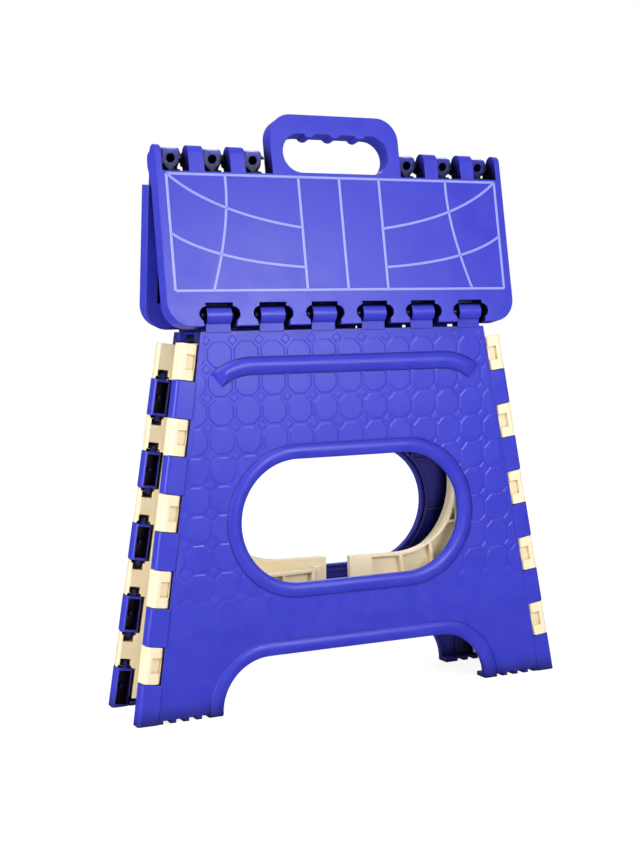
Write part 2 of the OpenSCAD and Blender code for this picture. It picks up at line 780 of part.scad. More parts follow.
module rear_tooth(i) {
    w = ridge_gap_w / 2 - tooth_gap;
    q = w - stub_l - tooth_gap;
    nose = tooth_reach - sink;
    translate([gap_x(i), 0, 0]) difference() {
        union() {
            along_x(-w, w) tooth_2d();
            // front of the tooth: a plate round the hole, with a pointed rib below it
            translate([0, 0, -barrel_r]) linear_extrude(barrel_r + seat_t / 2)
                polygon([[-q, nose - ring_cut], [-q + ring_cut, nose], [q - ring_cut, nose],
                         [q, nose - ring_cut], [q, -ring_cut], [0, -rib_tip], [-q, -ring_cut]]);
        }
        both_sides() box(q, w + over, -slot_travel, slot_w, -barrel_r - over, slot_travel);
        translate([0, ring_hole_y, -barrel_r - over]) cylinder(h = barrel_r + seat_t / 2, r = ring_hole_r);
        both_sides() translate([0, 0, -over]) linear_extrude(rear_pocket + over)
            polygon([[over, -gap_depth - 2 * over], [w - over, -gap_depth - 2 * over],
                     [w - over, -rib_tip], [over, -rib_tip]]);
    }
}

module seat_rear() {
    rear() seat_frame() color(blue) {
        difference() {
            seat_body(handle_w / 2 + 2 * handle_gap);
            translate([0, 0, -over])
                linear_extrude(seat_t + 2 * over) mirror([0, 1, 0]) handle_2d(handle_gap);
            both_sides() box(ear_x - tooth_gap, seat_w, -ear_depth, over, -over, seat_t + over);
        }
        both_sides() for (i = [0 : ridge_n - 1]) rear_tooth(i);
    }
}

seat_front();
seat_rear();
leg_front();
leg_rear();
side_front_left();
side_rear_left();
side_front_right();
side_rear_right();
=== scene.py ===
"""Looks of a folding step stool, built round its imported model.

The stool is eight moulded panels: two blue seat halves, two blue legs and four cream half side
panels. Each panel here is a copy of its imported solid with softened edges. The legs get their low
octagon tiles and the seat halves their raised lines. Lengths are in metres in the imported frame.
"""

from __future__ import annotations

import json
import logging
import math
from dataclasses import dataclass, field
from enum import Enum

import bmesh
import bpy
from mathutils import Matrix, Vector

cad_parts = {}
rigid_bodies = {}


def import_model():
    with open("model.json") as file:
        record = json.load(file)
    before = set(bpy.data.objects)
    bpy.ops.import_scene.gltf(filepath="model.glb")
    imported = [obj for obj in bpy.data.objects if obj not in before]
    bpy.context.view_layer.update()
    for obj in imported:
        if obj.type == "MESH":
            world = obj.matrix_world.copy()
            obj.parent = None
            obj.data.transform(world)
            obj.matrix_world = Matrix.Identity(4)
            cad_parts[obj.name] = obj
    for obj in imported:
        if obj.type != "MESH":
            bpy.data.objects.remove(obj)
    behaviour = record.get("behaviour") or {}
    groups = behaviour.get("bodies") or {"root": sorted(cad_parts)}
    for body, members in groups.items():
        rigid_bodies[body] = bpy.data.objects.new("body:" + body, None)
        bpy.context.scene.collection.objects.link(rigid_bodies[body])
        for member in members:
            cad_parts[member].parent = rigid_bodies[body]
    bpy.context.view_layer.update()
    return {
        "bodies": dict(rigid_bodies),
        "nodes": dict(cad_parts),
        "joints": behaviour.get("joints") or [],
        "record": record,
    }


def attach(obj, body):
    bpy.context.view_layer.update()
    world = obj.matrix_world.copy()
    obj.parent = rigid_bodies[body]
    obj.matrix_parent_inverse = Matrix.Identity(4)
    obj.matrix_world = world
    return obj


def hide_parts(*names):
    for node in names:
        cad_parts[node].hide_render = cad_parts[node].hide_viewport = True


log = logging.getLogger("step_stool")

MM = 0.001
MIX_FIRST, MIX_SECOND, MIX_RESULT = 6, 7, 2  # the colour sockets of a Mix node
WHITE = (1.0, 1.0, 1.0, 1.0)


class Slot(Enum):
    """The material slots of the record."""

    BLUE = "blue_plastic"
    CREAM = "cream_plastic"


@dataclass(frozen=True)
class PanelFrame:
    """A panel's own frame: X across, Y up the panel, Z out of its outer face."""

    origin: Vector
    x: Vector
    y: Vector
    z: Vector

    def at(self, x: float, y: float, z: float) -> Vector:
        """Return the point at panel coordinates x, y, z."""
        return self.origin + self.x * x + self.y * y + self.z * z

    def matrix(self) -> Matrix:
        """Return the frame as a matrix from panel to stool coordinates."""
        columns = Matrix((self.x, self.y, self.z)).transposed().to_4x4()
        return Matrix.Translation(self.origin) @ columns

    def turned(self) -> PanelFrame:
        """Return the same frame on the other half of the stool."""
        half_turn = Matrix.Rotation(math.pi, 3, "Z")
        return PanelFrame(*(half_turn @ v for v in (self.origin, self.x, self.y, self.z)))


class NodeTree:
    """A short way to write a material's nodes."""

    def __init__(self, tree: bpy.types.NodeTree) -> None:
        """Empty the tree and keep it.

        Args:
            tree: the node tree to fill.
        """
        tree.nodes.clear()
        self.tree = tree

    def add(self, kind: str, **settings: object) -> bpy.types.Node:
        """Add a node.

        Args:
            kind: the node's type name.
            settings: attributes of the node to set.

        Returns:
            The new node.
        """
        node = self.tree.nodes.new(kind)
        for name, value in settings.items():
            setattr(node, name, value)
        return node

    def join(self, source: bpy.types.NodeSocket, target: bpy.types.NodeSocket) -> None:
        """Link an output to an input."""
        self.tree.links.new(source, target)

    def noise(
        self, coords: bpy.types.NodeSocket, scale: float, detail: float
    ) -> bpy.types.NodeSocket:
        """Add a noise texture.

        Args:
            coords: the coordinates that it is read at.
            scale: how many lumps it has in a metre, about.
            detail: how many finer layers it has.

        Returns:
            The noise's value.
        """
        node = self.add("ShaderNodeTexNoise")
        node.inputs["Scale"].default_value = scale
        node.inputs["Detail"].default_value = detail
        self.join(coords, node.inputs["Vector"])
        return node.outputs["Fac"]

    def spread(
        self, value: bpy.types.NodeSocket, low: tuple[float, float], high: tuple[float, float]
    ) -> bpy.types.NodeSocket:
        """Map a value from one range to another.

        Args:
            value: the value to map.
            low: the lower end before and after.
            high: the upper end before and after.

        Returns:
            The mapped value.
        """
        node = self.add("ShaderNodeMapRange")
        node.inputs["From Min"].default_value, node.inputs["To Min"].default_value = low
        node.inputs["From Max"].default_value, node.inputs["To Max"].default_value = high
        self.join(value, node.inputs["Value"])
        return node.outputs["Result"]

    def bump(
        self,
        height: bpy.types.NodeSocket,
        depth: float,
        under: bpy.types.NodeSocket | None = None,
    ) -> bpy.types.NodeSocket:
        """Put a height map on a surface.

        Args:
            height: the height map.
            depth: the height of a full step of it, in metres.
            under: the normal of a coarser map to build on.

        Returns:
            The new normal.
        """
        node = self.add("ShaderNodeBump")
        node.inputs["Distance"].default_value = depth
        self.join(height, node.inputs["Height"])
        if under:
            self.join(under, node.inputs["Normal"])
        return node.outputs["Normal"]

    def mix(
        self, share: bpy.types.NodeSocket, first: object, second: object
    ) -> bpy.types.NodeSocket:
        """Mix two colours.

        Args:
            share: how much of the second colour there is.
            first: a socket, or a tuple of red, green and blue.
            second: the same for the other colour.

        Returns:
            The mixed colour.
        """
        node = self.add("ShaderNodeMix", data_type="RGBA")
        self.join(share, node.inputs["Factor"])
        for value, socket in ((first, MIX_FIRST), (second, MIX_SECOND)):
            if isinstance(value, tuple):
                node.inputs[socket].default_value = (*value, 1.0)
            else:
                self.join(value, node.inputs[socket])
        return node.outputs[MIX_RESULT]


@dataclass(frozen=True)
class MouldedPlastic:
    """Satin plastic straight from the mould.

    Each detail is a number of noise layers, and each scale is in lumps to the metre. The clouds
    run from colour to pale. Worn edges turn pale, and hollows get painted shade: their colour
    turns to the deep colour where ambient occlusion finds them closed in.
    """

    name: str
    colour: tuple[float, float, float]
    pale: tuple[float, float, float]
    # deep is the painted shade colour that hollows, corners and gaps between parts turn to, where
    # shade falls.
    deep: tuple[float, float, float]
    roughness: tuple[float, float] = (0.32, 0.42)
    specular: float = 0.5
    cloud_scale: float = 60.0
    cloud_detail: float = 3.0
    cloud_range: tuple[float, float] = (0.3, 0.7)
    cloud_share: float = 0.3
    smudge_detail: float = 4.0
    worn_range: tuple[float, float] = (0.52, 0.62)
    worn_share: float = 0.5
    grain_scale: float = 1500.0
    grain_depth: float = 0.03 * MM
    pebble_scale: float = 260.0
    pebble_depth: float = 0.05 * MM
    bump_detail: float = 2.0
    # Painted shade: how far the ambient occlusion looks, the range over which it fades the deep
    # colour out, and its samples.
    painted_shade_reach: float = 0.024
    painted_shade_range: tuple[float, float] = (0.42, 0.84)
    painted_shade_samples: int = 8

    def material(self) -> bpy.types.Material:
        """Build the material.

        Returns:
            A material with clouded colour, painted shade in its hollows, pale edges and a fine
            moulded grain.
        """
        made = bpy.data.materials.new(self.name)
        made.use_nodes = True
        tree = NodeTree(made.node_tree)
        coords = tree.add("ShaderNodeTexCoord").outputs["Object"]
        colour = self.shaded_colour(tree, coords)
        pebbles = self.bumps(tree, coords, self.pebble_scale, self.pebble_depth)
        grain = self.bumps(tree, coords, self.grain_scale, self.grain_depth, pebbles)
        shader = tree.add("ShaderNodeBsdfPrincipled")
        shader.inputs["Specular IOR Level"].default_value = self.specular
        tree.join(colour, shader.inputs["Base Color"])
        low, high = self.cloud_range
        smooth, dull = self.roughness
        smudges = tree.noise(coords, self.cloud_scale, self.smudge_detail)
        rough = tree.spread(smudges, (low, smooth), (high, dull))
        tree.join(rough, shader.inputs["Roughness"])
        tree.join(grain, shader.inputs["Normal"])
        tree.join(shader.outputs["BSDF"], tree.add("ShaderNodeOutputMaterial").inputs["Surface"])
        return made

    def shaded_colour(self, tree: NodeTree, coords: bpy.types.NodeSocket) -> bpy.types.NodeSocket:
        """Add the nodes of the colour: clouds, then pale worn edges, then painted shade in the
        hollows.

        Args:
            tree: the material's nodes.
            coords: the coordinates of the clouds.

        Returns:
            The colour.
        """
        low, high = self.cloud_range
        clouds = tree.noise(coords, self.cloud_scale, self.cloud_detail)
        cloud_share = tree.spread(clouds, (low, 0.0), (high, self.cloud_share))
        tone = tree.mix(cloud_share, self.colour, self.pale)
        flat, edge = self.worn_range
        bend = tree.add("ShaderNodeNewGeometry").outputs["Pointiness"]
        worn = tree.mix(tree.spread(bend, (flat, 0.0), (edge, self.worn_share)), tone, self.pale)
        # Painted shade: ambient occlusion tints hollows and gaps between parts towards the deep
        # colour.
        painted_shade_ao = tree.add("ShaderNodeAmbientOcclusion", samples=self.painted_shade_samples)
        painted_shade_ao.inputs["Distance"].default_value = self.painted_shade_reach
        closed, free = self.painted_shade_range
        unshaded_share = tree.spread(painted_shade_ao.outputs["AO"], (closed, 0.0), (free, 1.0))
        return tree.mix(unshaded_share, self.deep, worn)

    def bumps(
        self,
        tree: NodeTree,
        coords: bpy.types.NodeSocket,
        scale: float,
        depth: float,
        under: bpy.types.NodeSocket | None = None,
    ) -> bpy.types.NodeSocket:
        """Add one layer of small bumps.

        Args:
            tree: the material's nodes.
            coords: the coordinates of the bumps.
            scale: how many bumps there are in a metre, about.
            depth: their height in metres.
            under: the normal of a coarser layer to build on.

        Returns:
            The new normal.
        """
        return tree.bump(tree.noise(coords, scale, self.bump_detail), depth, under)


@dataclass(frozen=True)
class Palette:
    """The finishes of the stool."""

    blue: MouldedPlastic = MouldedPlastic(
        "moulded_blue",
        colour=(0.026, 0.031, 0.50),
        pale=(0.045, 0.053, 0.60),
        # deep is painted shade, the near black of the blue's shaded hollows and gaps.
        deep=(0.0008, 0.0008, 0.012),
    )
    # The raised lines are the seat's own blue plastic; their lighter tint is a painted sheen that
    # stands in for the highlight they catch.
    sheen_line_blue: MouldedPlastic = MouldedPlastic(
        "line_blue_painted_sheen",
        colour=(0.24, 0.27, 0.74),
        pale=(0.32, 0.35, 0.78),
        deep=(0.06, 0.07, 0.55),
        roughness=(0.3, 0.4),
        painted_shade_reach=0.002,
    )
    cream: MouldedPlastic = MouldedPlastic(
        "moulded_cream",
        colour=(0.92, 0.78, 0.51),
        pale=(0.94, 0.83, 0.62),
        # deep and the occlusion settings below paint a warm brown shade into the cream's narrow
        # hollows and gaps.
        deep=(0.42, 0.26, 0.09),
        painted_shade_reach=0.006,
        painted_shade_range=(0.0, 0.6),
    )


class Piece:
    """A shown piece of the stool that rides on one of its bodies."""

    def __init__(self, name: str, body: str, slot: Slot) -> None:
        """Keep the piece's names.

        Args:
            name: the piece's name in the scene.
            body: the body that it rides on.
            slot: the record's material slot of its finish.
        """
        self.name = name
        self.body = body
        self.slot = slot

    def place(self, mesh: bmesh.types.BMesh, finish: bpy.types.Material) -> bpy.types.Object:
        """Turn a finished mesh into a scene object that rides on the body.

        Args:
            mesh: the piece's shape, in stool coordinates. It is freed here.
            finish: the material of all its faces.

        Returns:
            The new object.
        """
        data = bpy.data.meshes.new(self.name)
        mesh.to_mesh(data)
        mesh.free()
        data.materials.append(finish)
        made = bpy.data.objects.new(self.name, data)
        bpy.context.scene.collection.objects.link(made)
        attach(made, self.body)
        log.info("%s rides on %s with %d faces", self.name, self.body, len(data.polygons))
        return made


@dataclass
class EdgeFinish:
    """How the edges of a copied solid are softened."""

    merge: float = 0.004 * MM
    edge_angle: float = math.radians(38.0)
    fork_angle: float = math.radians(30.0)
    width: float = 0.36 * MM
    steps: int = 2
    shading_weight: int = 80

    def clean(self, mesh: bmesh.types.BMesh) -> None:
        """Join a solid's faces along their seams and mark the edges to round.

        Args:
            mesh: the solid's mesh.
        """
        bmesh.ops.remove_doubles(mesh, verts=mesh.verts, dist=self.merge)
        weight = mesh.edges.layers.float.new("bevel_weight_edge")
        shared = (e for e in mesh.edges if len(e.link_faces) == 2)
        sharp = {e for e in shared if e.calc_face_angle(0.0) > self.edge_angle}
        for edge in sharp - self.forked(mesh, sharp):
            edge[weight] = 1.0

    def forked(
        self, mesh: bmesh.types.BMesh, sharp: set[bmesh.types.BMEdge]
    ) -> set[bmesh.types.BMEdge]:
        """Find the edges that can't be rounded, as they meet another at a small angle.

        Args:
            mesh: the solid's mesh.
            sharp: its sharp edges.

        Returns:
            The shorter edge of every pair that meets at less than the fork angle.
        """
        found = set()
        for vertex in mesh.verts:
            edges = [e for e in vertex.link_edges if e in sharp]
            arms = [(e, e.other_vert(vertex).co - vertex.co) for e in edges]
            for i, (first, way) in enumerate(arms):
                for second, other in arms[i + 1 :]:
                    if way.angle(other, math.pi) < self.fork_angle:
                        found.add(first if way.length < other.length else second)
        return found

    def soften(self, piece: bpy.types.Object) -> None:
        """Round a piece's marked edges and shade the rest smoothly.

        Args:
            piece: the object, whose mesh clean() has marked.
        """
        bevel = piece.modifiers.new("soft_edges", "BEVEL")
        bevel.limit_method = "WEIGHT"
        bevel.width = self.width
        bevel.segments = self.steps
        bevel.use_clamp_overlap = False
        bevel.miter_outer = "MITER_ARC"
        piece.data.polygons.foreach_set("use_smooth", [True] * len(piece.data.polygons))
        piece.data.set_sharp_from_angle(angle=self.edge_angle)
        even = piece.modifiers.new("even_shading", "WEIGHTED_NORMAL")
        even.keep_sharp = True
        even.weight = self.shading_weight


class MouldedPanel(Piece):
    """A panel of the stool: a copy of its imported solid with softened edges."""

    edges = EdgeFinish()

    def __init__(self, frame: dict, node: str, slot: Slot) -> None:
        """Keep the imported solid.

        Args:
            node: the solid's name, which its body shares.
            slot: the record's material slot.
        """
        super().__init__(f"{node}_panel", node, slot)
        self.node = node
        self.solid = frame["nodes"][node]

    def build(self, finish: bpy.types.Material) -> bpy.types.Object:
        """Build the panel in the place of its solid.

        Args:
            finish: the panel's material.

        Returns:
            The panel.
        """
        mesh = bmesh.new()
        mesh.from_mesh(self.solid.data)
        self.edges.clean(mesh)
        made = self.place(mesh, finish)
        self.edges.soften(made)
        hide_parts(self.node)
        return made


@dataclass(frozen=True)
class Ribbon:
    """A raised line with a flat top and sloping sides."""

    width: float = 2.3 * MM
    top_share: float = 0.6
    height: float = 0.45 * MM
    sink: float = 0.15 * MM

    def draw(
        self, mesh: bmesh.types.BMesh, frame: PanelFrame, points: list[Vector], base: float
    ) -> None:
        """Add the line to a mesh.

        Args:
            mesh: the mesh to add to.
            frame: the panel's frame.
            points: the line's points on the panel, in X and Y.
            base: the height of the panel's face, in Z.
        """
        rings = []
        for i, point in enumerate(points):
            before = points[max(i - 1, 0)]
            after = points[min(i + 1, len(points) - 1)]
            along = (after - before).normalized()
            across = Vector((-along.y, along.x))
            ring = []
            for share, level in self.profile():
                spot = point + across * (share * self.width / 2)
                ring.append(mesh.verts.new(frame.at(spot.x, spot.y, base + level)))
            rings.append(ring)
        for first, second in zip(rings, rings[1:]):
            join_rings(mesh, first, second)
        mesh.faces.new(list(reversed(rings[0])))
        mesh.faces.new(rings[-1])

    def profile(self) -> list[tuple[float, float]]:
        """Return the cross section as shares of the half width, and heights."""
        foot, brim = -self.sink, self.height
        return [(-1.0, foot), (-self.top_share, brim), (self.top_share, brim), (1.0, foot)]


@dataclass
class SeatLines(Piece):
    """The raised lines on a seat half, which stop at the cut-out for the handle.

    The lined field runs from the upper line down to the lower one. The first and the second bent
    line of each side end at the inner line, and the cross line bends from the upper line to the
    lower one. Where they start, bend and end is given in shares of the field's half width and of
    its depth.
    """

    frame: PanelFrame
    half: str
    gap: float = 0.0
    gap_foot: float = 0.0
    top: float = 15.0 * MM
    half_width: float = 138.0 * MM
    upper: float = -14.3 * MM
    lower: float = -100.0 * MM
    inner: float = 33.9 * MM
    first_middle: tuple[float, float] = (0.69, 0.28)
    first_end: float = 0.45
    second_start: float = 0.51
    second_middle: tuple[float, float] = (0.70, 0.70)
    second_end: float = 0.80
    cross_start: float = 0.673
    cross_middle: tuple[float, float] = (0.695, 0.45)
    cross_end: float = 0.787
    ribbon: Ribbon = field(default_factory=Ribbon)
    arc_steps: int = 24

    def __post_init__(self) -> None:
        """Name the piece after its seat half."""
        super().__init__(f"{self.half}_lines", self.half, Slot.BLUE)

    def arc(self, *marks: tuple[float, float]) -> list[Vector]:
        """Draw a bent line.

        Args:
            marks: its start, its middle and its end.

        Returns:
            Points along the parabola through the three.
        """
        start, middle, end = (Vector(mark) for mark in marks)
        pull = (middle - (start + end) / 4) * 2
        shares = [i / self.arc_steps for i in range(self.arc_steps + 1)]
        return [start * (1 - t) ** 2 + pull * (2 * t * (1 - t)) + end * t * t for t in shares]

    def routes(self) -> list[list[Vector]]:
        """Lay out the lines.

        Returns:
            Every line's points on the seat half, in X and Y.
        """
        w, lo, hi = self.half_width, self.lower, self.upper
        start = min(hi, self.gap_foot)
        lines = [[Vector((-w, lo)), Vector((w, lo))], [Vector((0.0, start)), Vector((0.0, lo))]]
        for side in (-1, 1):
            lines.append([Vector((side * w, hi)), Vector((side * self.gap, hi))])
            lines.append([Vector((side * w, hi)), Vector((side * w, lo))])
            lines.append([Vector((side * self.inner, start)), Vector((side * self.inner, lo))])
            for bend in self.bends():
                lines.append(self.arc(*((side * x, y) for x, y in bend)))
        return lines

    def bends(self) -> list[tuple[tuple[float, float], ...]]:
        """Lay out the bent lines of one side.

        Returns:
            Each line's start, middle and end.
        """
        w, lo, hi, inner = self.half_width, self.lower, self.upper, self.inner
        deep = lo - hi

        def middle(share: tuple[float, float]) -> tuple[float, float]:
            """Return the point at a share of the field."""
            return (share[0] * w, hi + share[1] * deep)

        return [
            ((w, hi), middle(self.first_middle), (inner, hi + self.first_end * deep)),
            (
                (w, hi + self.second_start * deep),
                middle(self.second_middle),
                (inner, hi + self.second_end * deep),
            ),
            ((self.cross_start * w, hi), middle(self.cross_middle), (self.cross_end * w, lo)),
        ]

    def build(self, finish: bpy.types.Material) -> bpy.types.Object:
        """Build the lines.

        Args:
            finish: their material.

        Returns:
            The lines as one object.
        """
        mesh = bmesh.new()
        for route in self.routes():
            self.ribbon.draw(mesh, self.frame, route, self.top)
        bmesh.ops.recalc_face_normals(mesh, faces=mesh.faces)
        return self.place(mesh, finish)


@dataclass
class LegTiles(Piece):
    """The low octagon tiles and small diamonds on a leg's outer face.

    The tiles stop at the beads round the oval hole and the arch, and at the brow, the long bead
    near the top with its bent ends. They fade out towards the feet.
    """

    frame: PanelFrame
    leg: str
    face: float = 6.1 * MM
    pitch: float = 21.1 * MM
    first_row: float = 275.0 * MM
    rows: int = 12
    columns: int = 8
    cut_share: float = 0.26
    gap: float = 1.4 * MM
    rise: float = 0.32 * MM
    slope: float = 1.2 * MM
    sink: float = 0.2 * MM
    fade: tuple[float, float] = (50.0 * MM, 120.0 * MM)
    foot_half: float = 178.0 * MM
    top_half: float = 133.5 * MM
    leg_height: float = 281.5 * MM
    margin: float = 17.0 * MM
    top_gap_share: float = 0.06
    least_share: float = 0.1
    hole_size: tuple[float, float] = (185.0 * MM, 93.0 * MM)
    hole_height: float = 138.5 * MM
    arch_size: tuple[float, float] = (224.0 * MM, 39.5 * MM)
    arch_radius: float = 38.5 * MM
    bead: float = 12.0 * MM
    brow_height: float = 255.5 * MM
    brow_length: float = 162.0 * MM
    brow_width: float = 14.2 * MM
    brow_radius: float = 44.0 * MM
    brow_turn: float = math.radians(38.0)
    brow_steps: int = 12
    cutter_reach: int = 4

    def __post_init__(self) -> None:
        """Name the piece after its leg."""
        super().__init__(f"{self.leg}_tiles", self.leg, Slot.BLUE)

    def outline(self, x: float, y: float, half: float, cut: float) -> list[Vector]:
        """Draw an octagon or, with cut equal to half, a diamond.

        Args:
            x: its middle across the leg.
            y: its middle up the leg.
            half: half its width.
            cut: how far its corners are cut back.

        Returns:
            The outline's points.
        """
        flat = half - cut
        corners = []
        for turn in range(4):
            spin = Matrix.Rotation(turn * math.pi / 2, 2)
            corners.append(Vector((x, y)) + spin @ Vector((half, flat)))
            if flat > 0:
                corners.append(Vector((x, y)) + spin @ Vector((flat, half)))
        return corners

    def clip(self, shape: list[Vector]) -> list[Vector]:
        """Cut a tile back to the leg's face inside its edges.

        Args:
            shape: the tile's outline.

        Returns:
            What is left of it.
        """
        lean = (self.foot_half - self.top_half) / self.leg_height
        reach = self.foot_half - self.margin
        planes = [
            (Vector((1.0, lean)), reach),
            (Vector((-1.0, lean)), reach),
            (Vector((0.0, 1.0)), self.leg_height - self.top_gap_share * self.pitch),
            (Vector((0.0, -1.0)), -self.gap),
        ]
        for normal, limit in planes:
            shape = cut_by_line(shape, normal, limit)
        return shape

    def tile(self, mesh: bmesh.types.BMesh, shape: list[Vector], rise: float) -> None:
        """Add one tile, a low pillow with sloping sides, unless hardly anything is left of it.

        Args:
            mesh: the mesh to add to.
            shape: the tile's outline.
            rise: its height over the leg's face.
        """
        if len(shape) < 3 or rise < self.least_share * self.rise:
            return
        middle = sum(shape, Vector((0.0, 0.0))) / len(shape)
        foot = [mesh.verts.new(self.frame.at(p.x, p.y, self.face - self.sink)) for p in shape]
        brim = [mesh.verts.new(self.frame.at(p.x, p.y, self.face)) for p in shape]
        top = []
        for p in shape:
            inward = p + (middle - p).normalized() * min(self.slope, (middle - p).length / 2)
            top.append(mesh.verts.new(self.frame.at(inward.x, inward.y, self.face + rise)))
        for low, high in ((foot, brim), (brim, top)):
            join_rings(mesh, low, high)
        mesh.faces.new(top)
        mesh.faces.new(list(reversed(foot)))

    def build(self, finish: bpy.types.Material) -> bpy.types.Object:
        """Build the tiles and cut them round the beads.

        Args:
            finish: their material.

        Returns:
            The tiles as one object.
        """
        mesh = bmesh.new()
        half = (self.pitch - self.gap) / 2
        cut = self.cut_share * self.pitch
        small = cut - self.gap
        for row in range(self.rows):
            low = self.first_row - (row + 1) * self.pitch
            for column in range(-self.columns, self.columns + 1):
                x, y = column * self.pitch, low + self.pitch / 2
                self.tile(mesh, self.clip(self.outline(x, y, half, cut)), self.level(y))
                x, y = x + self.pitch / 2, low + self.pitch
                self.tile(mesh, self.clip(self.outline(x, y, small, small)), self.level(y))
        bmesh.ops.recalc_face_normals(mesh, faces=mesh.faces)
        made = self.place(mesh, finish)
        cutter = self.cutter()
        trim = made.modifiers.new("round_the_beads", "BOOLEAN")
        trim.operation = "DIFFERENCE"
        trim.solver = "EXACT"
        trim.object = cutter
        bake_modifiers(made)
        bpy.data.objects.remove(cutter)
        return made

    def level(self, y: float) -> float:
        """Work out how far a tile stands out.

        Args:
            y: its height on the leg.

        Returns:
            Its rise, which eases from nothing at the feet to full.
        """
        low, high = self.fade
        share = min(max((y - low) / (high - low), 0.0), 1.0)
        return self.rise * share * share * (3 - 2 * share)

    def cutter(self) -> bpy.types.Object:
        """Build the form that clears the hole, the arch and the beads.

        Returns:
            The cutter as an object.
        """
        mesh = bmesh.new()
        bead = self.bead
        width, height = self.hole_size
        self.prism(mesh, stadium(self.hole_height, width / 2 + bead, height / 2 + bead))
        width, height = self.arch_size
        self.prism(mesh, arch(width / 2 + bead, height + bead, self.arch_radius + bead))
        self.prism(mesh, self.brow_outline())
        bmesh.ops.recalc_face_normals(mesh, faces=mesh.faces)
        data = bpy.data.meshes.new(f"{self.name}_cutter")
        mesh.to_mesh(data)
        mesh.free()
        made = bpy.data.objects.new(f"{self.name}_cutter", data)
        bpy.context.scene.collection.objects.link(made)
        return made

    def brow_outline(self) -> list[Vector]:
        """Draw the brow bead with its bent ends.

        Returns:
            The outline's points.
        """
        half = self.brow_width / 2
        centre = Vector((self.brow_length / 2, self.brow_height - self.brow_radius))
        right_outer, right_inner = [], []
        for i in range(self.brow_steps + 1):
            turn = self.brow_turn * i / self.brow_steps
            way = Vector((math.sin(turn), math.cos(turn)))
            right_outer.append(centre + way * (self.brow_radius + half))
            right_inner.append(centre + way * (self.brow_radius - half))
        right = right_outer + list(reversed(right_inner))
        left = [Vector((-p.x, p.y)) for p in reversed(right)]
        return right + left

    def prism(self, mesh: bmesh.types.BMesh, shape: list[Vector]) -> None:
        """Add an upright form over an outline, from under the tiles to above them.

        Args:
            mesh: the mesh to add to.
            shape: the outline.
        """
        low = self.face - self.cutter_reach * self.sink
        high = self.face + self.cutter_reach * self.rise
        foot = [mesh.verts.new(self.frame.at(p.x, p.y, low)) for p in shape]
        top = [mesh.verts.new(self.frame.at(p.x, p.y, high)) for p in shape]
        join_rings(mesh, foot, top)
        mesh.faces.new(top)
        mesh.faces.new(list(reversed(foot)))


def join_rings(
    mesh: bmesh.types.BMesh, first: list[bmesh.types.BMVert], second: list[bmesh.types.BMVert]
) -> None:
    """Add the faces between two closed rings of points.

    Args:
        mesh: the mesh to add to.
        first: the points of one ring.
        second: as many points of the other ring, in the same order.
    """
    for i in range(len(first)):
        j = (i + 1) % len(first)
        mesh.faces.new((first[i], first[j], second[j], second[i]))


def cut_by_line(shape: list[Vector], normal: Vector, limit: float) -> list[Vector]:
    """Keep the part of a convex outline on one side of a line.

    Args:
        shape: the outline's points.
        normal: the line's normal.
        limit: the largest reach along the normal that stays.

    Returns:
        The points of what is left.
    """
    kept = []
    for first, second in zip(shape, shape[1:] + shape[:1]):
        over_first = first.dot(normal) - limit
        over_second = second.dot(normal) - limit
        if over_first <= 0:
            kept.append(first)
        if (over_first < 0 < over_second) or (over_second < 0 < over_first):
            share = over_first / (over_first - over_second)
            kept.append(first.lerp(second, share))
    return kept


def stadium(y: float, half_width: float, half_height: float, steps: int = 32) -> list[Vector]:
    """Draw a level oval with straight sides and round ends.

    Args:
        y: the height of its middle, which is at X = 0.
        half_width: half its width.
        half_height: half its height, and the radius of its ends.
        steps: the number of parts in each end.

    Returns:
        The outline's points.
    """
    points = []
    for side in (1, -1):
        for i in range(steps + 1):
            turn = math.pi * (i / steps - 0.5) + (0.0 if side > 0 else math.pi)
            centre = Vector((side * (half_width - half_height), y))
            points.append(centre + Vector((math.cos(turn), math.sin(turn))) * half_height)
    return points


def arch(
    half_width: float, height: float, radius: float, steps: int = 16, sunk_share: float = 0.2
) -> list[Vector]:
    """Draw an arch that stands on the floor.

    Args:
        half_width: half its width.
        height: its height.
        radius: the radius of its upper corners.
        steps: the number of parts in each corner.
        sunk_share: how far it goes on below the floor, as a share of its height.

    Returns:
        The outline's points.
    """
    centre = Vector((half_width - radius, height - radius))
    turns = [math.pi / 2 * i / steps for i in range(steps + 1)]
    right = [centre + Vector((math.cos(turn), math.sin(turn))) * radius for turn in turns]
    left = [Vector((-p.x, p.y)) for p in reversed(right)]
    below = -sunk_share * height
    return [Vector((half_width, below))] + right + left + [Vector((-half_width, below))]


def bake_modifiers(piece: bpy.types.Object) -> None:
    """Apply all modifiers of a piece to its mesh.

    Args:
        piece: the object.
    """
    graph = bpy.context.evaluated_depsgraph_get()
    made = bpy.data.meshes.new_from_object(piece.evaluated_get(graph))
    piece.modifiers.clear()
    piece.data = made


class Leg(MouldedPanel):
    """A leg with its tiles."""

    def __init__(self, frame: dict, node: str, place: PanelFrame) -> None:
        """Keep the leg's frame.

        Args:
            node: the leg's node.
            place: the leg's own frame.
        """
        super().__init__(frame, node, Slot.BLUE)
        self.tiles = LegTiles(place, node)

    def dress(self, finish: bpy.types.Material) -> None:
        """Build the panel and its tiles."""
        self.build(finish)
        self.tiles.build(finish)


class SeatHalf(MouldedPanel):
    """A seat half with its raised lines."""

    def __init__(
        self, frame: dict, node: str, place: PanelFrame, gap: tuple[float, float]
    ) -> None:
        """Keep the seat half's frame.

        Args:
            node: the seat half's node.
            place: the seat half's own frame.
            gap: half the width of the cut-out for the handle and its lowest Y, or zeros.
        """
        super().__init__(frame, node, Slot.BLUE)
        self.lines = SeatLines(place, node, *gap)

    def dress(self, finish: bpy.types.Material, line_sheen_finish: bpy.types.Material) -> None:
        """Build the panel and its lines, whose lighter blue is a painted sheen."""
        self.build(finish)
        self.lines.build(line_sheen_finish)


